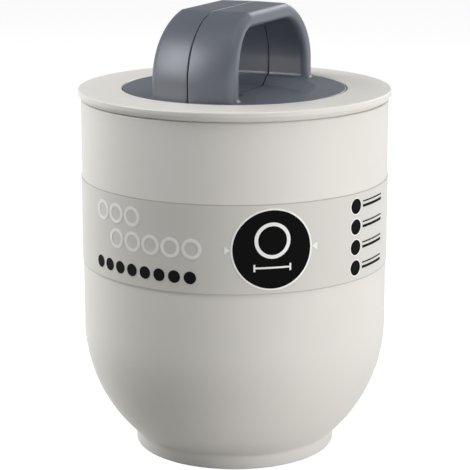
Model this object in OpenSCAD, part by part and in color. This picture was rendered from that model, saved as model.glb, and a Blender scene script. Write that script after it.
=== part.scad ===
// Clear ice ball mould: a two-part rubber mould that hangs in an insulated cup.
// Millimetres, +Z up. The origin is the centre of the foot ring, on the table.
// The mould parts on the plane x = 0, and the handle spans along Y.

/* [Ice ball] */
// Diameter of the ice ball that the mould casts
ball_d = 64; // [54:1:70]
// Thickness of the rubber wall round the ball
ball_wall = 3.5; // [2.5:0.1:4]
// Rubber left between the top of the ball and the floor of the dish
ball_roof = 3.2; // [2.4:0.1:5]
// Diameter of the hole in the bottom, where water and air bubbles pass
fill_d = 12; // [6:1:18]
// Diameter of the vent in the floor of the dish
vent_d = 6; // [3:0.5:8]

/* [Cup] */
// Thickness of the foam between the well and the shell
foam_t = 12.1; // [9:0.1:18]
// Height of the cup to the top of its rim
cup_h = 127; // [122:1:136]
// Wall of the outer shell
shell_wall = 2.2; // [1.6:0.1:3]
// Diameter of the foot ring
foot_d = 70.4; // [60:0.2:78]
// Height at which the bowl leaves the foot ring
foot_h = 5; // [4:0.5:7]
// Width of the ring that the cup stands on
foot_ring = 4; // [3:0.5:6]
// How far the middle of the base is raised off the table
base_lift = 2; // [1:0.5:3]
// Radius of the hollow blend between the bowl and the foot ring
foot_blend = 3; // [1:0.5:3.5]
// Rounding of the foot ring's lower edge
foot_edge = 1; // [0.5:0.1:1.5]

/* [Rim] */
// How far the rim stands out past the straight side
rim_step = 1; // [0.6:0.1:2]
// Height of the rim's outer edge, down to the shadow gap
rim_edge = 3.1; // [3:0.1:5]
// Height of the slope under the rim's outer edge
rim_slope = 1.3; // [0.5:0.1:2]
// Rounding of the rim's two upper edges
rim_round = 0.5; // [0.3:0.1:0.8]
// Thickness of the rim's flat top
deck_t = 2; // [1.6:0.1:2.5]
// Thickness of the two rings under the rim that locate the shell
skirt_t = 1.7; // [1.2:0.1:2]
// How far the inner ring reaches down inside the shell
skirt_drop = 5; // [4:0.5:8]
// Height of the shadow gap between the rim and the shell
shadow_gap = 0.4; // [0.2:0.1:0.8]

/* [Liner] */
// Wall of the liner's well
liner_wall = 1.8; // [1.2:0.1:2.5]
// Clearance round the mould in the well
well_gap = 0.8; // [0.5:0.1:1.5]
// Height of the well's floor above the table
well_floor = 18; // [14:1:22]
// Rounding between the well's wall and its floor
well_round = 8; // [4:1:14]
// Clearance between moulded parts that are pushed together
fit_gap = 0.3; // [0.2:0.05:0.4]

/* [Mould disc] */
// Width of the ledge that the disc rests on
ledge_w = 2.6; // [1.5:0.1:5]
// Thickness of the disc's lip, which rests on the ledge
lip_t = 4.5; // [4:0.1:5.5]
// Depth of the disc's face below the rim
disc_sink = 0.1; // [0:0.1:1]
// Clearance round the disc in the rim
disc_gap = 0.4; // [0.2:0.1:1]
// Rounding of the disc's upper edge
disc_round = 0.8; // [0.4:0.1:1.2]
// Distance from the handle's legs to the edge of the dish
dish_inset = 1.7; // [1.7:0.1:8]
// Depth of the dish
dish_depth = 3; // [2:0.1:3.6]
// How far the dish's wall leans in over its depth
dish_lean = 3.5; // [1:0.5:4]
// Thickness of the web on each side of the parting plane
web_t = 3; // [2:0.5:4]
// Width of the sealing rib round the ball
rib_w = 1.2; // [0.8:0.1:1.4]
// Height of the sealing rib
rib_h = 1.2; // [0.8:0.1:2]
// Clearance round the sealing rib in its groove
rib_gap = 0.15; // [0.1:0.05:0.3]

/* [Handle] */
// Distance from the disc's edge to the handle's legs
handle_inset = 1.3; // [1.2:0.1:4]
// Height of the handle above the disc
handle_rise = 27.8; // [26:0.1:36]
// Radius of the handle's shoulders on their outside
shoulder_r = 21.7; // [18:0.1:24]
// Width of the handle at its foot
handle_w = 29.8; // [24:0.2:34]
// Width of the handle at its top
handle_w_top = 27.4; // [20:0.2:30]
// Thickness of the handle's legs at the parting plane
handle_t = 7.8; // [7:0.1:9]
// Thickness of the handle's flat top
handle_t_top = 5.3; // [5.1:0.1:6.5]
// Rounding of the handle's edges
handle_round = 2.5; // [1:0.1:2.5]
// Radius of the hollow blend between the legs and the disc, on their sides and inside
leg_blend = 1.5; // [0.5:0.1:1.6]

/* [Label] */
// Height of the label sleeve's lower edge above the table
label_z = 67; // [50:1:80]
// Height of the label sleeve
label_h = 30; // [26:1:34]
// Thickness of the label's film
label_t = 0.2; // [0.1:0.05:0.3]
// Clearance between the label and the cup
label_gap = 0.05; // [0.02:0.01:0.1]
// Length of the glued overlap at the back
lap_l = 8; // [5:1:12]
// Thickness of the printed ink
ink_t = 0.08; // [0.05:0.01:0.1]

/* [Print] */
// Diameter of the black badge
badge_d = 26; // [20:1:26]
// Width of the white outline round the badge
badge_line = 0.6; // [0.4:0.1:1]
// Direction of the badge, seen from above
badge_turn = -52.2; // [-60:0.1:-44]
// Diameter of the ball drawn in the badge
badge_ball_d = 12; // [8:1:14]
// Width of the lines drawn in the badge
badge_stroke = 1.2; // [0.8:0.1:1.6]
// Height of the white arrows beside the badge
arrow_h = 2.6; // [1.5:0.1:4]
// Diameter of the four small black spots
spot_d = 5.2; // [4:0.1:5.6]
// Distance between the small spots
spot_pitch = 7; // [6.4:0.1:7.2]
// Direction of the small spots, seen from above
spot_turn = -16.6; // [-22:0.1:-10]
// Width of the white outline round the small spots
spot_line = 0.3; // [0.2:0.05:0.4]
// Space between a small spot and its bars
note_gap = 1; // [0.5:0.1:3]
// Length of the two thin bars beside each small spot
note_l = 14; // [6:1:18]
// Height of the upper and thicker bar
note_h = 0.9; // [0.4:0.1:1.2]
// Diameter of the white rings
ring_d = 6.8; // [5:0.1:7.2]
// Width of the white rings' line
ring_line = 1.1; // [0.6:0.1:1.5]
// Distance between the white rings
ring_pitch = 7.4; // [7.3:0.1:8]
// Height of the upper row of rings over the label's middle
ring_rise = 8.5; // [8:0.1:10]
// Directions of the middles of the upper and the lower row of rings, seen from above
ring_turns = [-112.8, -96.7]; // [-130:0.1:-90]
// Diameter of the small black dots
dot_d = 4.2; // [3:0.1:5]
// Distance between the small black dots
dot_pitch = 5.5; // [5.2:0.1:6]
// Depth of the row of dots under the label's middle
dot_drop = 9.6; // [7:0.1:11]
// Direction of the middle of the row of dots, seen from above
dot_turn = -102; // [-115:0.1:-95]

/* [Hidden] */

$fn = 96;
far = 200;
// How far a cutting shape runs past the surface that it cuts
past = 1;

// Radii, from the ice ball outwards
ball_r = ball_d / 2;
mould_r = ball_r + ball_wall;
well_r = mould_r + well_gap;
mouth_r = well_r + ledge_w;
disc_r = mouth_r - disc_gap;
foam_in = well_r + liner_wall + fit_gap;
foam_out = foam_in + foam_t;
tongue_in = foam_out + fit_gap;
cup_r = tongue_in + shell_wall;
rim_r = cup_r + rim_step;
foot_r = foot_d / 2;

// Heights, from the rim down
disc_z = cup_h - disc_sink;
ledge_z = disc_z - lip_t;
dish_z = disc_z - dish_depth;
plug_z = dish_z - ball_roof;
ball_z = plug_z - ball_r;
deck_z = cup_h - deck_t;
seam_z = cup_h - rim_edge;

// The bowl is a ball of the cup's own radius, which meets the foot ring at foot_h
bowl_z = foot_h + sqrt(cup_r * cup_r - foot_r * foot_r);
base_floor = base_lift + shell_wall;

// The two rings under the rim, with the shell's upper edge between them
tongue_out = rim_r - skirt_t - fit_gap;
skirt_r = tongue_in - fit_gap;

// The handle's outer line in its own plane: a leg, a shoulder and a flat top
leg_y = disc_r - handle_inset;
handle_z = disc_z + handle_rise;
shoulder_y = leg_y - shoulder_r;
shoulder_z = handle_z - shoulder_r;
// Share of the outer face's bow that the inner face follows
inner_bow = 0.4;
blend_steps = 4;
shoulder_steps = 12;
corner_steps = 3;
bow_steps = 4;
dish_r = leg_y - handle_t - dish_inset;

label_in = cup_r + label_gap;
label_out = label_in + label_t;
label_mid = label_z + label_h / 2;
// Hair gap under the ink, so that its face and the film's stay apart
ink_gap = 0.01;
ink_in = label_out + ink_gap;
ink_out = ink_in + ink_t;
badge_r = badge_d / 2;
// How many rings there are in each row, and how high over the label's middle it lies
ring_counts = [3, 5];
ring_heights = [ring_rise, 0];
dot_count = 8;
spot_count = 4;

// Half section of a straight-sided bowl of radius r, from the height low up to the height high
module bowl_section(r, centre_z, low, high) {
    intersection() {
        union() {
            translate([0, centre_z]) circle(r);
            translate([0, centre_z]) square([r, high - centre_z]);
        }
        translate([0, low]) square([r, high - low]);
    }
}

// Half section of the well, grown outwards by grow, up to the height high
module well_section(grow, high) {
    round = well_round + grow;
    low = well_floor - grow;
    translate([0, low]) square([well_r + grow - round, high - low]);
    translate([0, low + round]) square([well_r + grow, high - low - round]);
    translate([well_r + grow - round, low + round]) circle(round);
}

// Corner of a section that rounds off an upper outer edge at (r, z)
module upper_edge(r, z, round) {
    translate([r - round, z - round]) difference() {
        square(round + past);
        circle(round);
    }
}

// Hollow blend between the upright foot ring and the bowl
module foot_blend_section() {
    reach = cup_r + foot_blend;
    blend_r = foot_r + foot_blend;
    blend_z = bowl_z - sqrt(reach * reach - blend_r * blend_r);
    share = cup_r / reach;
    difference() {
        polygon([[foot_r - foot_edge, blend_z], [blend_r, blend_z],
                 [blend_r * share, bowl_z + (blend_z - bowl_z) * share], [foot_r - foot_edge, foot_h]]);
        translate([blend_r, blend_z]) circle(foot_blend);
    }
}

module foot_section() {
    difference() {
        square([foot_r, foot_h]);
        translate([foot_r - foot_edge, 0]) difference() {
            translate([0, -past]) square([foot_edge + past, foot_edge + past]);
            translate([0, foot_edge]) circle(foot_edge);
        }
    }
}

module outer_shell() {
    color("gainsboro") rotate_extrude() difference() {
        union() {
            bowl_section(cup_r, bowl_z, base_lift, seam_z - shadow_gap);
            // Tongue that reaches up behind the rim's outer skirt
            translate([0, bowl_z]) square([tongue_out, deck_z - bowl_z]);
            foot_blend_section();
            foot_section();
        }
        // Raised middle of the base
        square([foot_r - foot_ring, base_lift]);
        bowl_section(tongue_in, bowl_z, base_floor, cup_h);
    }
}

module foam_insulation() {
    foam_top = deck_z - skirt_drop - fit_gap;
    color("white") rotate_extrude() difference() {
        bowl_section(foam_out, bowl_z, base_floor + fit_gap, foam_top);
        well_section(liner_wall + fit_gap, cup_h);
    }
}

// Rim, ledge and well in one moulding
module inner_liner() {
    color("whitesmoke") rotate_extrude() difference() {
        union() {
            // Flat top with its sloped outer edge
            translate([0, deck_z]) square([rim_r, deck_t]);
            difference() {
                translate([rim_r - skirt_t, seam_z]) square([skirt_t, rim_edge]);
                polygon([[cup_r, seam_z], [rim_r, seam_z + rim_slope], [rim_r + past, seam_z + rim_slope],
                         [rim_r + past, seam_z - past], [cup_r, seam_z - past]]);
            }
            // Inner ring that locates the shell
            translate([skirt_r - skirt_t, deck_z - skirt_drop]) square([skirt_t, skirt_drop]);
            // Ledge and well
            translate([0, ledge_z - liner_wall]) square([mouth_r + liner_wall, cup_h - ledge_z + liner_wall]);
            well_section(liner_wall, ledge_z);
        }
        translate([0, ledge_z]) square([mouth_r, cup_h]);
        well_section(0, cup_h);
        upper_edge(rim_r, cup_h, rim_round);
        // Rounded edge of the mouth
        translate([mouth_r, cup_h]) difference() {
            translate([-past, -rim_round]) square(rim_round + past);
            translate([rim_round, -rim_round]) circle(rim_round);
        }
    }
}

// Half section of the mould before the ball and the holes are cut
module mould_section() {
    difference() {
        union() {
            translate([0, ledge_z]) square([disc_r, lip_t]);
            translate([0, plug_z]) square([mould_r, disc_z - plug_z]);
            intersection() {
                translate([0, ball_z]) circle(mould_r);
                translate([0, ball_z - mould_r]) square([mould_r, 2 * mould_r]);
            }
        }
        upper_edge(disc_r, disc_z, disc_round);
        polygon([[0, dish_z], [dish_r - dish_lean, dish_z], [dish_r, disc_z],
                 [dish_r, disc_z + past], [0, disc_z + past]]);
    }
}

module mould_holes() {
    translate([0, 0, ball_z]) sphere(ball_r);
    translate([0, 0, ball_z]) cylinder(d = vent_d, h = disc_z - ball_z);
    translate([0, 0, ball_z - far]) cylinder(d = fill_d, h = far);
}

// The handle as a loft: one section at each station of its outer line.
// A station is [y, z, outward y, outward z, growth of the section in the blend at the foot].
function leg_stations() = concat(
    [[leg_y, disc_z - 2 * leg_blend, 1, 0, leg_blend]],
    [for (i = [0 : blend_steps]) let (h = leg_blend * (1 - cos(90 * i / blend_steps)))
        [leg_y, disc_z + h, 1, 0, leg_blend - sqrt(leg_blend * leg_blend - pow(leg_blend - h, 2))]],
    [for (i = [0 : shoulder_steps]) let (a = 90 * i / shoulder_steps)
        [shoulder_y + shoulder_r * cos(a), shoulder_z + shoulder_r * sin(a), cos(a), sin(a), 0]]);

function over_stations() = let (leg = leg_stations(), last = len(leg) - 1) concat(
    leg, [for (i = [0 : last]) let (s = leg[last - i]) [-s[0], s[1], -s[2], s[3], s[4]]]);

// Width and thickness hold in the legs and taper towards the top
function taper(z) = pow(max(0, z - disc_z) / handle_rise, 3);
function half_width(z) = (handle_w + (handle_w_top - handle_w) * taper(z)) / 2;
function thickness(z) = handle_t + (handle_t_top - handle_t) * taper(z);

// Section of one half, w wide and t thick, as [x, depth below the outer face], from the seam outside
// to the seam inside. It grows to the side and inwards, and the outer face stays where it is.
function half_section(w, t, grow) = let (r = handle_round + grow, edge = w + grow, deep = t + grow)
    concat(
        [for (i = [0 : bow_steps - 1]) [(edge - r) * i / bow_steps, 0]],
        [for (i = [0 : corner_steps]) let (a = 90 * i / corner_steps)
            [edge - r + r * sin(a), r - r * cos(a)]],
        [for (i = [0 : corner_steps]) let (a = 90 * i / corner_steps)
            [edge - r + r * cos(a), deep - r + r * sin(a)]],
        [for (i = [1 : bow_steps]) [(edge - r) * (1 - i / bow_steps), deep]]);

// Both faces bow round the mould's axis, the inner one less than the outer one
function handle_point(s, p) = let (
        bow = p[0] * p[0] * abs(s[2]) / (2 * max(abs(s[0]), shoulder_y)),
        share = 1 - (1 - inner_bow) * min(1, p[1] / thickness(s[1])),
        d = p[1] + bow * share)
    [p[0], s[0] - s[2] * d, s[1] - s[3] * d];

module half_handle() {
    stations = over_stations();
    sections = [for (s = stations)
        [for (p = half_section(half_width(s[1]), thickness(s[1]), s[4])) handle_point(s, p)]];
    count = len(sections[0]);
    points = [for (section = sections) for (p = section) p];
    sides = [for (i = [0 : len(sections) - 2]) for (j = [0 : count - 1]) let (
            a = i * count + j, b = i * count + (j + 1) % count) each [[a, b, b + count], [a, b + count, a + count]]];
    first = [[for (j = [0 : count - 1]) count - 1 - j]];
    last = [[for (j = [0 : count - 1]) (len(sections) - 1) * count + j]];
    polyhedron(points = points, faces = concat(sides, first, last));
}

// Ring round the ball on the parting plane, w wide and h high, on the side that x points away from
module seal_ring(w, h) {
    middle_r = ball_r + ball_wall / 2;
    translate([-h, 0, ball_z]) rotate([0, 90, 0]) difference() {
        cylinder(r = middle_r + w / 2, h = h);
        translate([0, 0, -past]) cylinder(r = middle_r - w / 2, h = h + 2 * past);
    }
}

// The half on the +X side, without its seal
module plain_half() {
    difference() {
        union() {
            rotate([0, 0, -90]) rotate_extrude(angle = 180) mould_section();
            // Web that closes the parting plane between the ball and the disc
            translate([0, -mould_r, ball_z]) cube([web_t, 2 * mould_r, plug_z - ball_z]);
            half_handle();
        }
        mould_holes();
    }
}

module mould_half_right() {
    color("slategray") {
        plain_half();
        difference() {
            seal_ring(rib_w, rib_h);
            mould_holes();
        }
    }
}

module mould_half_left() {
    color("slategray") difference() {
        mirror([1, 0, 0]) plain_half();
        translate([0.01, 0, 0]) seal_ring(rib_w + 2 * rib_gap, rib_h + rib_gap);
    }
}

// Angle that a length along the label takes up
function turn_of(length) = length / label_out * 180 / PI;

// Film round the cup, which lies double at its glued overlap at the back
module label_sleeve() {
    lap_turn = turn_of(lap_l);
    color("silver") difference() {
        rotate_extrude() translate([label_in, label_z]) square([2 * label_t, label_h]);
        rotate([0, 0, 90 + lap_turn / 2]) rotate_extrude(angle = 360 - lap_turn)
            translate([label_out, label_z - past]) square([label_t + past, label_h + 2 * past]);
    }
}

// A layer of ink from radius r outwards, in the outline that its children give,
// with its middle at the direction turn and the height z
module ink(turn, z, r) {
    rotate([0, 0, turn]) intersection() {
        translate([0, 0, z]) rotate([90, 0, 90]) linear_extrude(far) children();
        rotate([0, 0, -45]) rotate_extrude(angle = 90) translate([r, label_z]) square([ink_t, label_h]);
    }
}

// A bar of ink along the label
module ink_bar(turn, z, length, height) {
    rotate([0, 0, turn]) rotate_extrude(angle = turn_of(length)) translate([ink_in, z]) square([ink_t, height]);
}

module ring_outline(d, line) {
    difference() {
        circle(d = d);
        circle(d = d - 2 * line);
    }
}

// Place of item i of a row of so many, measured from the row's middle
function row_place(i, count, pitch) = (i - (count - 1) / 2) * pitch;

module label_print_black() {
    color("black") {
        ink(badge_turn, label_mid, ink_in) circle(d = badge_d);
        for (i = [0 : spot_count - 1]) {
            z = label_mid + row_place(i, spot_count, spot_pitch);
            ink(spot_turn, z, ink_in) circle(d = spot_d);
            bar_turn = spot_turn + turn_of(spot_d / 2 + spot_line + note_gap);
            ink_bar(bar_turn, z - note_h, note_l, note_h);
            ink_bar(bar_turn, z + note_h, note_l, note_h / 2);
        }
        for (i = [0 : dot_count - 1])
            ink(dot_turn + turn_of(row_place(i, dot_count, dot_pitch)), label_mid - dot_drop, ink_in)
                circle(d = dot_d);
    }
}

// A ball with a line under it that has a tick at each end
module badge_drawing() {
    translate([0, badge_ball_d / 4]) ring_outline(badge_ball_d, badge_stroke);
    translate([0, -badge_ball_d / 2]) {
        square([badge_ball_d, badge_stroke / 2], center = true);
        for (side = [-1, 1]) translate([side * badge_ball_d / 2, 0])
            square([badge_stroke / 2, 2 * badge_stroke], center = true);
    }
}

module label_print_white() {
    color("white") {
        ink(badge_turn, label_mid, ink_in) {
            ring_outline(badge_d + 2 * badge_line + 2 * ink_gap, badge_line);
            for (side = [-1, 1]) scale([side, 1])
                translate([badge_r + badge_line + ink_gap, 0])
                    polygon([[0.1, 0], [arrow_h * 0.75, -arrow_h / 2], [arrow_h * 0.75, arrow_h / 2]]);
        }
        ink(badge_turn, label_mid, ink_out + ink_gap) badge_drawing();
        for (i = [0 : spot_count - 1])
            ink(spot_turn, label_mid + row_place(i, spot_count, spot_pitch), ink_in)
                ring_outline(spot_d + 2 * spot_line + 2 * ink_gap, spot_line);
        for (row = [0, 1]) for (i = [0 : ring_counts[row] - 1])
            ink(ring_turns[row] + turn_of(row_place(i, ring_counts[row], ring_pitch)),
                label_mid + ring_heights[row], ink_in)
                ring_outline(ring_d, ring_line);
    }
}

outer_shell();
foam_insulation();
inner_liner();
mould_half_left();
mould_half_right();
label_sleeve();
label_print_black();
label_print_white();
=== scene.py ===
import math

import bpy
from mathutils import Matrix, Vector


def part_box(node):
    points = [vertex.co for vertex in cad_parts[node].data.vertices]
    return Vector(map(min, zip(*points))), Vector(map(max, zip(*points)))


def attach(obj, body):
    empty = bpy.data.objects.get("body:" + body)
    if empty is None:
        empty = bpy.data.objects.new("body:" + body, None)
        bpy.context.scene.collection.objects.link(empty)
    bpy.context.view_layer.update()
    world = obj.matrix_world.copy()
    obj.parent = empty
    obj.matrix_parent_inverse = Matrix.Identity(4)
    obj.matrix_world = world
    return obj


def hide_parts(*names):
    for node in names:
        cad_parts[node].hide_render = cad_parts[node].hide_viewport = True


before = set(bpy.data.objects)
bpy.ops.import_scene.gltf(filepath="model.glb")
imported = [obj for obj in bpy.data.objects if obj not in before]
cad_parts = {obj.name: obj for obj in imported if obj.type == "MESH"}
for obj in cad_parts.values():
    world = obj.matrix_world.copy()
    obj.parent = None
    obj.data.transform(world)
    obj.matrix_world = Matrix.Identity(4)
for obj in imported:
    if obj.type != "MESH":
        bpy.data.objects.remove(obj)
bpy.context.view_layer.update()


# Camera
# The photograph looks a little down on the cup, past the right-hand side of the handle.
# Its place and lens come from a pinhole camera fitted to the rims, the foot and the handle.
mm = 0.001
view_turn = math.radians(24.5)
view_tilt = math.radians(13.63)
view_distance = 608.4 * mm
view_height = 221.8 * mm
lens = 136.38
sensor_width = 36
lens_shift = 0.0008

bpy.ops.object.select_all(action="DESELECT")
bpy.ops.object.camera_add(
    location=(view_distance * math.sin(view_turn), -view_distance * math.cos(view_turn), view_height),
    rotation=(math.pi / 2 - view_tilt, 0, view_turn))
camera = bpy.context.object
camera.data.lens = lens
camera.data.sensor_width = sensor_width
camera.data.shift_x = lens_shift
bpy.context.scene.camera = camera
bpy.context.scene.view_settings.view_transform = "Standard"


# Table and surroundings
# A wide white table that runs out to the foot of white walls in a dim studio. The camera and reflections
# see the table white, with the cup's soft shadow, and the walls white at their foot. Matt surfaces get
# only the light of the lamps and a little off the table.
table_size = 8.0
table_glow = 0.93
table_shadow = "#969696"
table_bounce = "#9E9D9A"
# Sine of the angle at which the walls start to fade into the dim
wall_top = 0.08
studio_dark = "#6E6E6E"
plain_white = (1, 1, 1, 1)
# Sockets of a Mix node that mixes colours
mix_a = 6
mix_b = 7
mix_out = 2


def colour(hex_code):
    """Linear colour of an sRGB hex code."""
    channels = [int(hex_code[i:i + 2], 16) / 255 for i in (1, 3, 5)]
    return [c / 12.92 if c <= 0.04045 else ((c + 0.055) / 1.055) ** 2.4 for c in channels] + [1]


def add_node(tree, kind, settings=None, links=None):
    """Adds a node, with settings for its properties or input values, and links from sockets to its inputs."""
    node = tree.nodes.new(kind)
    for name, value in (settings or {}).items():
        if isinstance(name, str) and hasattr(node, name):
            setattr(node, name, value)
        else:
            node.inputs[name].default_value = value
    for name, socket in (links or {}).items():
        tree.links.new(socket, node.inputs[name])
    return node


def seen_directly(tree):
    """1 for rays from the camera, off gloss and through clear things, and 0 for light on matt surfaces."""
    path = add_node(tree, "ShaderNodeLightPath")
    either = add_node(tree, "ShaderNodeMath", {"operation": "MAXIMUM"},
                      {0: path.outputs["Is Camera Ray"], 1: path.outputs["Is Glossy Ray"]})
    return add_node(tree, "ShaderNodeMath", {"operation": "MAXIMUM"},
                    {0: either.outputs[0], 1: path.outputs["Is Transmission Ray"]}).outputs[0]


def empty_material(name):
    """A new material, and its node tree with nothing in it."""
    material = bpy.data.materials.new(name)
    material.use_nodes = True
    material.node_tree.nodes.clear()
    return material, material.node_tree


def table_white():
    """White that glows for the camera and reflections, and passes only lamp light on to matt surfaces."""
    material, tree = empty_material("table_white")
    bounce = add_node(tree, "ShaderNodeBsdfDiffuse", {"Color": colour(table_bounce)})
    lit = add_node(tree, "ShaderNodeBsdfDiffuse", {"Color": colour(table_shadow)})
    glow = add_node(tree, "ShaderNodeEmission", {"Color": plain_white, "Strength": table_glow})
    shown = add_node(tree, "ShaderNodeAddShader", {}, {0: lit.outputs[0], 1: glow.outputs[0]})
    mixed = add_node(tree, "ShaderNodeMixShader", {},
                     {0: seen_directly(tree), 1: bounce.outputs[0], 2: shown.outputs[0]})
    add_node(tree, "ShaderNodeOutputMaterial", {}, {"Surface": mixed.outputs[0]})
    return material


bpy.ops.object.select_all(action="DESELECT")
bpy.ops.mesh.primitive_plane_add(size=table_size)
table = bpy.context.object
table.name = "table"
table.data.materials.append(table_white())

world = bpy.data.worlds.new("white_studio")
world.use_nodes = True
world.node_tree.nodes.clear()
studio = world.node_tree
direction = add_node(studio, "ShaderNodeTexCoord").outputs["Generated"]
axes = add_node(studio, "ShaderNodeSeparateXYZ", {}, {"Vector": direction})
walls = add_node(studio, "ShaderNodeMapRange", {"From Min": wall_top, "From Max": 2 * wall_top},
                 {"Value": axes.outputs["Z"]})
shade = add_node(studio, "ShaderNodeMix",
                 {"data_type": "RGBA", mix_a: plain_white, mix_b: colour(studio_dark)},
                 {"Factor": walls.outputs[0]})
dark = add_node(studio, "ShaderNodeBackground", {"Strength": 0.0})
white = add_node(studio, "ShaderNodeBackground", {"Strength": 1.0}, {"Color": shade.outputs[mix_out]})
either = add_node(studio, "ShaderNodeMixShader", {},
                  {0: seen_directly(studio), 1: dark.outputs[0], 2: white.outputs[0]})
add_node(studio, "ShaderNodeOutputWorld", {}, {"Surface": either.outputs[0]})
bpy.context.scene.world = world


# Lamps
# Softboxes all round the cup: a long low one at the right, two at the left and behind it that brighten
# the left edge, one behind at the right and two overhead. Two more give nothing but a reflection: the
# sheen on the handle's near leg, and the light line along the arch's outer edge.
lamp_distance = 0.9
lamp_aim = Vector((0, 0, 75 * mm))
# Name, turn in degrees from the camera's own place round the cup, rise in degrees above the cup's middle,
# width and length in metres, power in watts, and the surfaces that show it. Five are kept off gloss, where
# the rubber would show them as bright stripes.
softboxes = [
    ("strip_right", 57, 4, 0.7, 0.14, 6.0, "matt"),
    ("softbox_right_rear", 140, 22, 0.35, 0.35, 0.7, "both"),
    ("softbox_top_right", 62, 70, 0.45, 0.45, 3.4, "matt"),
    ("softbox_top_left", -55, 68, 0.4, 0.4, 2.5, "matt"),
    ("softbox_left_high", -98, 39, 0.4, 0.4, 2.6, "matt"),
    ("softbox_left_rear", -116, 13, 0.6, 0.45, 4.5, "matt"),
    ("sheen_left", -64, 28, 0.7, 0.7, 9.0, "gloss"),
    ("sheen_right_rear", 154, 29, 0.3, 0.3, 1.1, "gloss"),
]

for name, turn, rise, width, length, power, shows_on in softboxes:
    turn, rise = math.radians(turn) + view_turn, math.radians(rise)
    level = lamp_distance * math.cos(rise)
    offset = Vector((level * math.sin(turn), -level * math.cos(turn), lamp_distance * math.sin(rise)))
    bpy.ops.object.select_all(action="DESELECT")
    bpy.ops.object.light_add(type="AREA", location=lamp_aim + offset,
                             rotation=offset.to_track_quat("Z", "Y").to_euler())
    lamp = bpy.context.object
    lamp.name = name
    lamp.data.shape = "RECTANGLE"
    lamp.data.size = width
    lamp.data.size_y = length
    lamp.data.energy = power
    lamp.visible_glossy = shows_on != "matt"
    lamp.visible_diffuse = shows_on != "gloss"


# Outer shell of the cup
# One polypropylene moulding: a straight side that ends in a round bowl, on a short foot ring with
# a hollow blend. Its upper edge steps in to a tongue that sits behind the rim.
shell_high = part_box("outer_shell")[1]
cup_r = shell_high.x
shell_wall = 2.2 * mm
foot_r = 35.2 * mm
foot_h = 5 * mm
foot_ring = 4 * mm
base_lift = 2 * mm
foot_blend = 3 * mm
bowl_z = foot_h + math.sqrt(cup_r ** 2 - foot_r ** 2)
side_z = bowl_z + 1 * mm
tongue_top = shell_high.z
tongue_foot = tongue_top - 1.5 * mm
tongue_out = cup_r - 1 * mm
# Roundings of the corners, from the base up
base_edge = 0.3 * mm
ring_edge = 0.5 * mm
foot_edge = 1 * mm
shell_edge = 0.6 * mm
tongue_edge = 0.3 * mm
turn_steps = 180
bowl_steps = 36
cup_white = "#E3E0DB"
# Points nearer to each other than this are one
touch = 0.001 * mm


def arc(x, z, radius, start, stop, steps):
    """Points of an arc round (x, z), from the angle start to the angle stop, in radians."""
    turns = [start + (stop - start) * i / steps for i in range(steps + 1)]
    return [(x + radius * math.cos(a), z + radius * math.sin(a)) for a in turns]


def rounded(corners, steps=5):
    """Points of a line through corners given as (x, z, radius), with each corner rounded by its radius."""
    points = []
    for i, (x, z, radius) in enumerate(corners):
        if radius == 0:
            points.append((x, z))
            continue
        here = Vector((x, z))
        back = (Vector(corners[i - 1][:2]) - here).normalized()
        ahead = (Vector(corners[(i + 1) % len(corners)][:2]) - here).normalized()
        half = back.angle(ahead) / 2
        centre = here + (back + ahead).normalized() * radius / math.sin(half)
        first = here + back * radius / math.tan(half) - centre
        last = here + ahead * radius / math.tan(half) - centre
        start = math.atan2(first.y, first.x)
        turn = (math.atan2(last.y, last.x) - start + math.pi) % (2 * math.pi) - math.pi
        points += arc(centre.x, centre.y, radius, start, start + turn, steps)
    return points


def draw_line(name, places):
    """Draws a line through the places by extruding one vertex along it, and stays in edit mode."""
    places = [Vector(place) for place in places]
    bpy.ops.object.select_all(action="DESELECT")
    bpy.ops.mesh.primitive_plane_add(size=mm)
    bpy.context.object.name = name
    bpy.ops.object.mode_set(mode="EDIT")
    bpy.ops.mesh.select_mode(type="VERT")
    bpy.ops.mesh.merge(type="CENTER")
    bpy.ops.transform.translate(value=places[0])
    for here, there in zip(places, places[1:]):
        bpy.ops.mesh.extrude_region_move(TRANSFORM_OT_translate={"value": there - here})
    return bpy.context.object


def close_and_face_out():
    """Merges what lies together, turns all faces outwards and leaves edit mode."""
    bpy.ops.mesh.select_all(action="SELECT")
    bpy.ops.mesh.remove_doubles(threshold=touch)
    bpy.ops.mesh.normals_make_consistent(inside=False)
    bpy.ops.object.mode_set(mode="OBJECT")


def turned(name, points, steps=turn_steps):
    """A closed body of revolution from its half section."""
    piece = draw_line(name, [(r, 0, z) for r, z in points])
    bpy.ops.mesh.select_all(action="SELECT")
    bpy.ops.mesh.spin(steps=steps, angle=2 * math.pi, center=(0, 0, 0), axis=(0, 0, 1))
    close_and_face_out()
    bpy.ops.object.shade_smooth_by_angle(angle=math.radians(30))
    return piece


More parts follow.
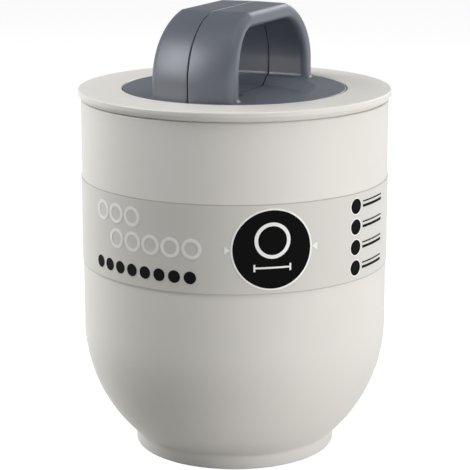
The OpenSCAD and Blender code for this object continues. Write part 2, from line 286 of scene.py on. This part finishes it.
def moulded(name, hex_code, roughness, grain, depth, surface=None):
    """Moulded plastic or rubber: a spark-eroded grain, drawn as coarse as it needs to show, under faint
    clouds of tone that keep a large face from looking drawn."""
    cloud_size = 22 * mm
    tone_spread = 0.03
    gloss_spread = 0.06
    material, tree = empty_material(name)
    place = add_node(tree, "ShaderNodeTexCoord").outputs["Object"]
    cloud = add_node(tree, "ShaderNodeTexNoise", {"Scale": 1 / cloud_size, "Detail": 3.0}, {"Vector": place})
    tone = add_node(tree, "ShaderNodeMapRange", {"To Min": 1 - tone_spread, "To Max": 1 + tone_spread},
                    {"Value": cloud.outputs[0]})
    base = add_node(tree, "ShaderNodeHueSaturation", {"Color": colour(hex_code)}, {"Value": tone.outputs[0]})
    speckle = add_node(tree, "ShaderNodeTexNoise", {"Scale": 1 / grain, "Detail": 2.0}, {"Vector": place})
    gloss = add_node(tree, "ShaderNodeMapRange",
                     {"To Min": roughness - gloss_spread, "To Max": roughness + gloss_spread},
                     {"Value": speckle.outputs[0]})
    bump = add_node(tree, "ShaderNodeBump", {"Distance": depth}, {"Height": speckle.outputs[0]})
    settings = {"IOR": 1.49}
    settings.update(surface or {})
    plastic = add_node(tree, "ShaderNodeBsdfPrincipled", settings, {
        "Base Color": base.outputs[0], "Roughness": gloss.outputs[0], "Normal": bump.outputs[0]})
    add_node(tree, "ShaderNodeOutputMaterial", {}, {"Surface": plastic.outputs[0]})
    return material


def finish_piece(piece, material, slot, *replaced):
    """Gives a piece its material, and hangs it in the frame in place of its CAD nodes."""
    piece.data.materials.append(material)
    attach(piece, "root")
    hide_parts(*replaced)


blend_r = foot_r + foot_blend
blend_z = bowl_z - math.sqrt((cup_r + foot_blend) ** 2 - blend_r ** 2)
blend_end = math.atan2(bowl_z - blend_z, -blend_r)
inner_r = cup_r - shell_wall
floor_z = base_lift + shell_wall
shell = turned(
    "shell",
    rounded([(0, base_lift, 0), (foot_r - foot_ring, base_lift, base_edge),
             (foot_r - foot_ring, 0, ring_edge), (foot_r, 0, foot_edge), (foot_r, blend_z, 0)])
    + arc(blend_r, blend_z, foot_blend, math.pi, blend_end, steps=8)[1:]
    + arc(0, bowl_z, cup_r, blend_end - math.pi, 0, bowl_steps)[1:]
    + rounded([(cup_r, side_z, 0), (cup_r, tongue_foot, shell_edge),
               (tongue_out, tongue_foot, 0), (tongue_out, tongue_top, tongue_edge),
               (inner_r, tongue_top, tongue_edge), (inner_r, bowl_z, 0)])
    + arc(0, bowl_z, inner_r, 0, math.asin((floor_z - bowl_z) / inner_r), bowl_steps)[1:]
    + [(0, floor_z)])
# Fine grain that takes the shine off the white wall. It is 0.15 mm in the tool and drawn three times coarser.
matt_plastic = moulded("matt_polypropylene", cup_white, roughness=0.5, grain=0.5 * mm, depth=0.02 * mm)
finish_piece(shell, matt_plastic, "cup_plastic", "outer_shell")


# Foam between the shell and the liner
# Beads of polystyrene steamed together in a mould of their own, and slipped in before the liner is
# pressed home. They show nowhere from outside.
bead_size = 2.6 * mm
bead_dome = 0.6 * mm
bead_white = "#F1F1EF"
bead_seam = "#C9C9C6"


def dress(name, material):
    """Gives a CAD node's slots the material."""
    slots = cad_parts[name].data.materials
    slots.clear()
    slots.append(material)


def bead_foam():
    """White beads of 2 to 3 mm pressed together, each a little domed, with a dark seam round it."""
    material, tree = empty_material("bead_foam")
    place = add_node(tree, "ShaderNodeTexCoord").outputs["Object"]
    scale = 1 / bead_size
    bead = add_node(tree, "ShaderNodeTexVoronoi", {"Scale": scale}, {"Vector": place})
    seam = add_node(tree, "ShaderNodeTexVoronoi", {"feature": "DISTANCE_TO_EDGE", "Scale": scale},
                    {"Vector": place})
    shade = add_node(tree, "ShaderNodeValToRGB", {}, {"Fac": seam.outputs["Distance"]})
    shade.color_ramp.elements[0].color = colour(bead_seam)
    shade.color_ramp.elements[1].color = colour(bead_white)
    shade.color_ramp.elements[1].position = 0.12
    own = add_node(tree, "ShaderNodeSeparateColor", {}, {"Color": bead.outputs["Color"]})
    tone = add_node(tree, "ShaderNodeMapRange", {"To Min": 0.95, "To Max": 1.0}, {"Value": own.outputs[0]})
    base = add_node(tree, "ShaderNodeHueSaturation", {},
                    {"Color": shade.outputs["Color"], "Value": tone.outputs[0]})
    bump = add_node(tree, "ShaderNodeBump", {"Distance": bead_dome, "Strength": 0.6},
                    {"Height": seam.outputs["Distance"]})
    foam = add_node(tree, "ShaderNodeBsdfPrincipled", {"Roughness": 0.9, "Specular IOR Level": 0.2},
                    {"Base Color": base.outputs[0], "Normal": bump.outputs[0]})
    add_node(tree, "ShaderNodeOutputMaterial", {}, {"Surface": foam.outputs[0]})
    return material


dress("foam_insulation", bead_foam())


# Inner liner with the rim
# One polypropylene moulding: the flat rim with its sloped underside, the ledge that carries the
# mould, and the well that holds the water. A thin ring under the rim slides inside the shell.
liner_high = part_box("inner_liner")[1]
rim_r = liner_high.x
rim_top = liner_high.z
deck_z = rim_top - 2 * mm
seam_z = rim_top - 3.1 * mm
skirt_r = inner_r - 0.3 * mm
skirt_t = 1.7 * mm
skirt_drop = 5 * mm
rim_slope = 1.3 * mm
mouth_r = 38.9 * mm
well_r = 36.3 * mm
liner_wall = 1.8 * mm
ledge_z = rim_top - 4.6 * mm
well_floor = 18 * mm
# Roundings of the corners, from the rim down
rim_edge = 0.5 * mm
slope_top = 0.4 * mm
slope_foot = 0.15 * mm
skirt_edge = 0.3 * mm
ledge_in = 0.2 * mm
ledge_edge = 0.3 * mm
outer_edge = 0.5 * mm
well_round = 8 * mm
rim_white = "#E3E0DA"

liner = turned("liner", rounded([
    (0, well_floor - liner_wall, 0), (well_r + liner_wall, well_floor - liner_wall, well_round + liner_wall),
    (well_r + liner_wall, ledge_z - liner_wall, outer_edge),
    (mouth_r + liner_wall, ledge_z - liner_wall, outer_edge),
    (mouth_r + liner_wall, deck_z, 0), (skirt_r - skirt_t, deck_z, 0),
    (skirt_r - skirt_t, deck_z - skirt_drop, skirt_edge), (skirt_r, deck_z - skirt_drop, skirt_edge),
    (skirt_r, deck_z, 0), (rim_r - skirt_t, deck_z, 0), (rim_r - skirt_t, seam_z, 0),
    (cup_r, seam_z, slope_foot), (rim_r, seam_z + rim_slope, slope_top), (rim_r, rim_top, rim_edge),
    (mouth_r, rim_top, rim_edge), (mouth_r, ledge_z, ledge_in), (well_r, ledge_z, ledge_edge),
    (well_r, well_floor, well_round), (0, well_floor, 0)]))
# Smoother than the shell, so that the rim's edge takes a soft light line.
satin_plastic = moulded("satin_polypropylene", rim_white, roughness=0.34, grain=0.4 * mm, depth=0.006 * mm)
finish_piece(liner, satin_plastic, "rim_plastic", "inner_liner")


# The two mould halves
# Silicone rubber, moulded as two mirrored halves that part down the middle of the dish and the handle.
# They hang loose on the liner's ledge, face to face, each with half of the ball's shell under its disc,
# and a rib on the right half seats in a groove in the left.
half_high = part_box("mould_half_right")[1]
disc_r = half_high.y
top_z = half_high.z
disc_z = rim_top - 0.1 * mm
ball_r = 32 * mm
mould_r = ball_r + 3.5 * mm
dish_z = disc_z - 3 * mm
plug_z = dish_z - 3.2 * mm
ball_z = plug_z - ball_r
dish_r = 27.7 * mm
dish_foot_r = dish_r - 3.5 * mm
vent_r = 3 * mm
fill_r = 6 * mm
web_t = 3 * mm
web_lap = 0.5 * mm
rib = 1.2 * mm
rib_gap = 0.15 * mm
rib_root = 0.5 * mm
rib_r = (ball_r + mould_r) / 2
seam_gap = 0.1 * mm
# Roundings of the corners, from the dish out
dish_fillet = 1.2 * mm
dish_edge = 0.5 * mm
disc_edge = 0.8 * mm
plug_edge = 0.3 * mm
seam_round = 0.35 * mm
slate_grey = "#5C616B"
# Hair that keeps the handle and the web off the half disc's own parting face, so that they join cleanly
set_back = 0.02 * mm
# Edges up to this long are slivers that a join leaves
sliver = 0.003 * mm

leg_y = disc_r - 1.3 * mm
shoulder_r = 21.7 * mm
shoulder_y = leg_y - shoulder_r
shoulder_z = top_z - shoulder_r
foot_half_w = 14.9 * mm
top_half_w = 13.7 * mm
leg_t = 7.8 * mm
strap_t = 5.3 * mm
handle_round = 2.55 * mm
leg_blend = 1.4 * mm
inner_bow = 0.4
blend_steps = 8
shoulder_steps = 28


def select_edges(piece, chosen):
    """Selects the edges whose two ends pass the test, in edit mode."""
    bpy.ops.mesh.select_mode(type="EDGE")
    bpy.ops.mesh.select_all(action="DESELECT")
    bpy.ops.object.mode_set(mode="OBJECT")
    points = piece.data.vertices
    for edge in piece.data.edges:
        edge.select = chosen(points[edge.vertices[0]].co, points[edge.vertices[1]].co)
    bpy.ops.object.mode_set(mode="EDIT")


def half_disc(name):
    """Half of the disc, the plug under it and the ball's shell, with its flat face on the parting plane."""
    ball_top = math.acos(vent_r / ball_r)
    ball_foot = -math.acos(fill_r / ball_r)
    shell_top = math.asin((plug_z - ball_z) / mould_r)
    shell_foot = -math.acos(fill_r / mould_r)
    outline = rounded([
        (vent_r, dish_z, 0), (dish_foot_r, dish_z, dish_fillet), (dish_r, disc_z, dish_edge),
        (disc_r, disc_z, disc_edge), (disc_r, ledge_z, plug_edge), (mould_r, ledge_z, 0),
        (mould_r, plug_z, plug_edge), (mould_r * math.cos(shell_top), plug_z, 0)])
    outline += arc(0, ball_z, mould_r, shell_top, shell_foot, steps=40)[1:]
    outline += arc(0, ball_z, ball_r, ball_foot, ball_top, steps=48)
    outline.append(outline[0])
    piece = draw_line(name, [(0, -r, z) for r, z in outline])
    bpy.ops.mesh.select_all(action="SELECT")
    bpy.ops.mesh.spin(steps=turn_steps // 2, angle=-math.pi, center=(0, 0, 0), axis=(0, 0, 1))
    bpy.ops.mesh.select_all(action="SELECT")
    bpy.ops.mesh.remove_doubles(threshold=touch)
    for side in (-1, 1):
        select_edges(piece, lambda a, b: max(abs(a.x), abs(b.x)) < touch and side * a.y > 0)
        bpy.ops.mesh.edge_face_add()
    # The seam's edges run across the dish and the disc, outside the vent
    seam_low = dish_z - 1 * mm
    seam_in = vent_r - 0.1 * mm
    select_edges(piece, lambda a, b: max(abs(a.x), abs(b.x)) < touch and min(a.z, b.z) > seam_low
                 and min(abs(a.y), abs(b.y)) > seam_in)
    bpy.ops.mesh.bevel(offset=seam_round, segments=3, affect="EDGES")
    close_and_face_out()
    return piece


def taper(z):
    """0 in the legs, and 1 at the flat top."""
    return (max(0, z - disc_z) / (top_z - disc_z)) ** 3


def handle_stations():
    """Stations along the handle's outer line as (y, z, outward y, outward z, growth in the foot's blend)."""
    leg = [(leg_y, disc_z - leg_blend, 1, 0, leg_blend)]
    for i in range(blend_steps + 1):
        up = leg_blend * (1 - math.cos(math.radians(90 * i / blend_steps)))
        leg.append((leg_y, disc_z + up, 1, 0, leg_blend - math.sqrt(leg_blend ** 2 - (leg_blend - up) ** 2)))
    for i in range(shoulder_steps + 1):
        a = math.radians(90 * i / shoulder_steps)
        leg.append((shoulder_y + shoulder_r * math.cos(a), shoulder_z + shoulder_r * math.sin(a),
                    math.cos(a), math.sin(a), 0))
    return leg + [(-y, z, -out_y, out_z, grow) for y, z, out_y, out_z, grow in reversed(leg)]


def half_section(width, deep, grow):
    """Section of one half as (x, depth under the outer face), from the seam outside to the seam inside."""
    radius, seam, quarter = handle_round + grow, seam_round, math.pi / 2
    edge, deep = width + grow, deep + grow
    face = [seam + (edge - radius - seam) * i / 8 for i in range(1, 8)]
    return (arc(seam, seam, seam, 2 * quarter, 3 * quarter, steps=3)
            + [(x, 0) for x in face]
            + arc(edge - radius, radius, radius, -quarter, 0, steps=8)
            + arc(edge - radius, deep - radius, radius, 0, quarter, steps=8)
            + [(x, deep) for x in reversed(face)]
            + arc(seam, deep - seam, seam, quarter, 2 * quarter, steps=3))


def half_handle(name):
    """Half of the strap handle: a grid rolled round one section after another, capped at both feet."""
    rows = []
    for y, z, out_y, out_z, grow in handle_stations():
        width = foot_half_w + (top_half_w - foot_half_w) * taper(z)
        thick = leg_t + (strap_t - leg_t) * taper(z)
        row = []
        for x, depth in half_section(width, thick, grow):
            bow = x * x * abs(out_y) / (2 * max(abs(y), shoulder_y))
            deep = depth + bow * (1 - (1 - inner_bow) * min(1, depth / thick))
            row.append(Vector((x + set_back, y - out_y * deep, z - out_z * deep)))
        rows.append(row + row[:1])
    bpy.ops.object.select_all(action="DESELECT")
    bpy.ops.mesh.primitive_grid_add(x_subdivisions=len(rows[0]) - 1, y_subdivisions=len(rows) - 1)
    piece = bpy.context.object
    piece.name = name
    for vertex, place in zip(piece.data.vertices, [place for row in rows for place in row]):
        vertex.co = place
    bpy.ops.object.mode_set(mode="EDIT")
    bpy.ops.mesh.select_all(action="SELECT")
    bpy.ops.mesh.remove_doubles(threshold=touch)
    foot_z = disc_z - leg_blend
    for side in (-1, 1):
        select_edges(piece, lambda a, b: max(a.z, b.z) < foot_z + touch and side * a.y > 0)
        bpy.ops.mesh.edge_face_add()
    close_and_face_out()
    return piece


def web(name):
    """Wall on the parting plane that closes it between the ball and the disc."""
    bpy.ops.object.select_all(action="DESELECT")
    bpy.ops.mesh.primitive_cube_add(size=1)
    piece = bpy.context.object
    piece.name = name
    height = plug_z + web_lap - ball_z
    bpy.ops.object.mode_set(mode="EDIT")
    bpy.ops.mesh.select_all(action="SELECT")
    bpy.ops.transform.resize(value=(web_t, 2 * mould_r, height), center_override=(0, 0, 0))
    bpy.ops.transform.translate(value=(web_t / 2 + set_back, 0, ball_z + height / 2))
    bpy.ops.object.mode_set(mode="OBJECT")
    bpy.ops.object.select_all(action="DESELECT")
    bpy.ops.mesh.primitive_uv_sphere_add(segments=96, ring_count=48, radius=rib_r)
    ball = bpy.context.object
    bpy.ops.object.mode_set(mode="EDIT")
    bpy.ops.mesh.select_all(action="SELECT")
    bpy.ops.transform.translate(value=(0, 0, ball_z))
    bpy.ops.object.mode_set(mode="OBJECT")
    combine(piece, ball, "DIFFERENCE")
    return piece


def seal_arc(name, side, width, low_x, high_x):
    """Arc of the ring round the ball on the parting plane, from the hole in the bottom up to the vent."""
    start = math.asin(fill_r / rib_r)
    sweep = math.pi - start - math.asin(vent_r / rib_r)
    corners = [(low_x, rib_r - width / 2), (high_x, rib_r - width / 2), (high_x, rib_r + width / 2),
               (low_x, rib_r + width / 2), (low_x, rib_r - width / 2)]
    piece = draw_line(
        name, [(x, side * r * math.sin(start), ball_z - r * math.cos(start)) for x, r in corners])
    bpy.ops.mesh.select_all(action="SELECT")
    bpy.ops.mesh.remove_doubles(threshold=touch)
    bpy.ops.mesh.edge_face_add()
    bpy.ops.mesh.spin(steps=72, angle=-side * sweep, center=(0, 0, ball_z), axis=(1, 0, 0))
    close_and_face_out()
    return piece


def combine(piece, other, operation):
    """Joins another closed body to the piece or cuts it away, removes the other, and cleans the seam up."""
    tool = piece.modifiers.new(operation, "BOOLEAN")
    tool.operation = operation
    tool.solver = "EXACT"
    tool.object = other
    bpy.context.view_layer.objects.active = piece
    bpy.ops.object.modifier_apply(modifier=tool.name)
    bpy.data.objects.remove(other)
    bpy.ops.object.mode_set(mode="EDIT")
    bpy.ops.mesh.select_all(action="SELECT")
    bpy.ops.mesh.remove_doubles(threshold=sliver)
    bpy.ops.mesh.dissolve_degenerate(threshold=sliver)
    bpy.ops.object.mode_set(mode="OBJECT")


right = half_disc("mould_right")
combine(right, half_handle("handle"), "UNION")
combine(right, web("web"), "UNION")
bpy.ops.object.select_all(action="DESELECT")
right.select_set(True)
bpy.context.view_layer.objects.active = right
bpy.ops.object.duplicate()
left = bpy.context.object
left.name = "mould_left"
bpy.ops.object.mode_set(mode="EDIT")
bpy.ops.mesh.select_all(action="SELECT")
bpy.ops.transform.resize(value=(-1, 1, 1), center_override=(0, 0, 0))
close_and_face_out()
for side in (-1, 1):
    combine(right, seal_arc("rib", side, rib, -rib, rib_root), "UNION")
    combine(left, seal_arc("groove", side, rib + 2 * rib_gap, -rib - rib_gap, rib_root), "DIFFERENCE")
# Slate grey rubber with a fine grain, whose soft sheen runs up the legs and along the handle's edges.
rubber = moulded("silicone_rubber", slate_grey, roughness=0.4, grain=0.35 * mm, depth=0.01 * mm,
                 surface={"Specular IOR Level": 0.7})
for half, node, shift in ((right, "mould_half_right", seam_gap), (left, "mould_half_left", -seam_gap)):
    bpy.ops.object.select_all(action="DESELECT")
    half.select_set(True)
    bpy.context.view_layer.objects.active = half
    bpy.ops.object.mode_set(mode="EDIT")
    bpy.ops.mesh.select_all(action="SELECT")
    bpy.ops.transform.translate(value=(shift, 0, 0))
    bpy.ops.object.mode_set(mode="OBJECT")
    bpy.ops.object.shade_smooth_by_angle(angle=math.radians(35))
    weight = half.modifiers.new("weight", "WEIGHTED_NORMAL")
    weight.keep_sharp = True
    bpy.ops.object.modifier_apply(modifier=weight.name)
    finish_piece(half, rubber, "silicone", node)


# Label sleeve
# A strip of satin plastic film drawn tight round the cup and glued to itself at the back. It carries
# plain rings, dots and bars, printed in black and white ink.
label_low, label_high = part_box("label_sleeve")
label_middle = (label_low.z + label_high.z) / 2
# Width of the band of painted shade along the film's top and bottom edges
edge_shade_width = 0.35 * mm
film_cloud = 9 * mm
ink_cloud = 1.5 * mm
film_grey = "#D9D6D1"
# Colour of the painted shade: the thin dark line along the film's edges
film_edge_shade = "#BBB8B2"
ink_black = "#090909"
ink_white = "#FBFAF8"


def label_film():
    """Film a tone darker than the cup, with a thin line of painted shade along its cut edge above and below,
    where the film's edge would cast a small shadow.
    """
    material, tree = empty_material("label_film")
    place = add_node(tree, "ShaderNodeTexCoord").outputs["Object"]
    axes = add_node(tree, "ShaderNodeSeparateXYZ", {}, {"Vector": place})
    off = add_node(tree, "ShaderNodeMath", {"operation": "SUBTRACT", 1: label_middle}, {0: axes.outputs["Z"]})
    far = add_node(tree, "ShaderNodeMath", {"operation": "ABSOLUTE"}, {0: off.outputs[0]})
    # Mask of the painted shade line along the film's top and bottom edges
    edge = add_node(tree, "ShaderNodeMath",
                    {"operation": "GREATER_THAN", 1: (label_high.z - label_low.z) / 2 - edge_shade_width},
                    {0: far.outputs[0]})
    base = add_node(tree, "ShaderNodeMix",
                    {"data_type": "RGBA", mix_a: colour(film_grey), mix_b: colour(film_edge_shade)},
                    {"Factor": edge.outputs[0]})
    gloss = add_node(tree, "ShaderNodeTexNoise", {"Scale": 1 / film_cloud, "Detail": 3.0}, {"Vector": place})
    rough = add_node(tree, "ShaderNodeMapRange", {"To Min": 0.36, "To Max": 0.46},
                     {"Value": gloss.outputs[0]})
    film = add_node(tree, "ShaderNodeBsdfPrincipled", {"IOR": 1.49},
                    {"Base Color": base.outputs[mix_out], "Roughness": rough.outputs[0]})
    add_node(tree, "ShaderNodeOutputMaterial", {}, {"Surface": film.outputs[0]})
    return material


def ink(name, hex_code, shine):
    """Ink that lies dead flat on the film, a little less shiny than the film itself."""
    material, tree = empty_material(name)
    place = add_node(tree, "ShaderNodeTexCoord").outputs["Object"]
    spread = add_node(tree, "ShaderNodeTexNoise", {"Scale": 1 / ink_cloud, "Detail": 2.0}, {"Vector": place})
    rough = add_node(tree, "ShaderNodeMapRange", {"To Min": 0.5, "To Max": 0.65},
                     {"Value": spread.outputs[0]})
    print_ink = add_node(tree, "ShaderNodeBsdfPrincipled",
                         {"Base Color": colour(hex_code), "Specular IOR Level": shine},
                         {"Roughness": rough.outputs[0]})
    add_node(tree, "ShaderNodeOutputMaterial", {}, {"Surface": print_ink.outputs[0]})
    return material


dress("label_sleeve", label_film())
dress("label_print_black", ink("black_ink", ink_black, 0.06))
dress("label_print_white", ink("white_ink", ink_white, 0.3))
